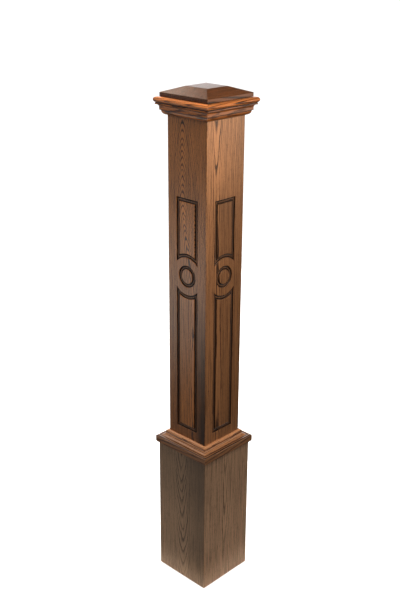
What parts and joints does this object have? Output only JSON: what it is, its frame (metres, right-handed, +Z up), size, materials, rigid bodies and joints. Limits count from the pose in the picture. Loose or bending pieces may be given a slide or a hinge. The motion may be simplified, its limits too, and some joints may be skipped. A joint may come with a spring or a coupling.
{
  "type": "newel post",
  "caption": "Square hollow box newel post with routed panels, boarded base, collar and crown mouldings and a low pyramid cap; ends a stair or landing balustrade.",
  "frame": {"origin": "centre of the underside, on the floor", "axes": "+Z up along the post, +X and -Y out of two neighbouring faces"},
  "size_m": [0.1704, 0.1704, 1.2445],
  "materials": {
    "shaft_oak": "brown stained oak, satin clear coat",
    "base_oak": "brown stained oak, satin clear coat",
    "collar_oak": "brown stained oak, satin clear coat",
    "crown_oak": "brown stained oak, satin clear coat",
    "cap_oak": "brown stained oak, satin clear coat"
  },
  "bodies": {
    "root": {"shaft_board_front": "shaft_oak", "shaft_board_right": "shaft_oak", "shaft_board_back": "shaft_oak", "shaft_board_left": "shaft_oak", "base_board_front": "base_oak", "base_board_right": "base_oak", "base_board_back": "base_oak", "base_board_left": "base_oak", "collar_moulding_front": "collar_oak", "collar_moulding_right": "collar_oak", "collar_moulding_back": "collar_oak", "collar_moulding_left": "collar_oak", "crown_moulding_front": "crown_oak", "crown_moulding_right": "crown_oak", "crown_moulding_back": "crown_oak", "crown_moulding_left": "crown_oak", "cap": "cap_oak"}
  },
  "joints": []
}
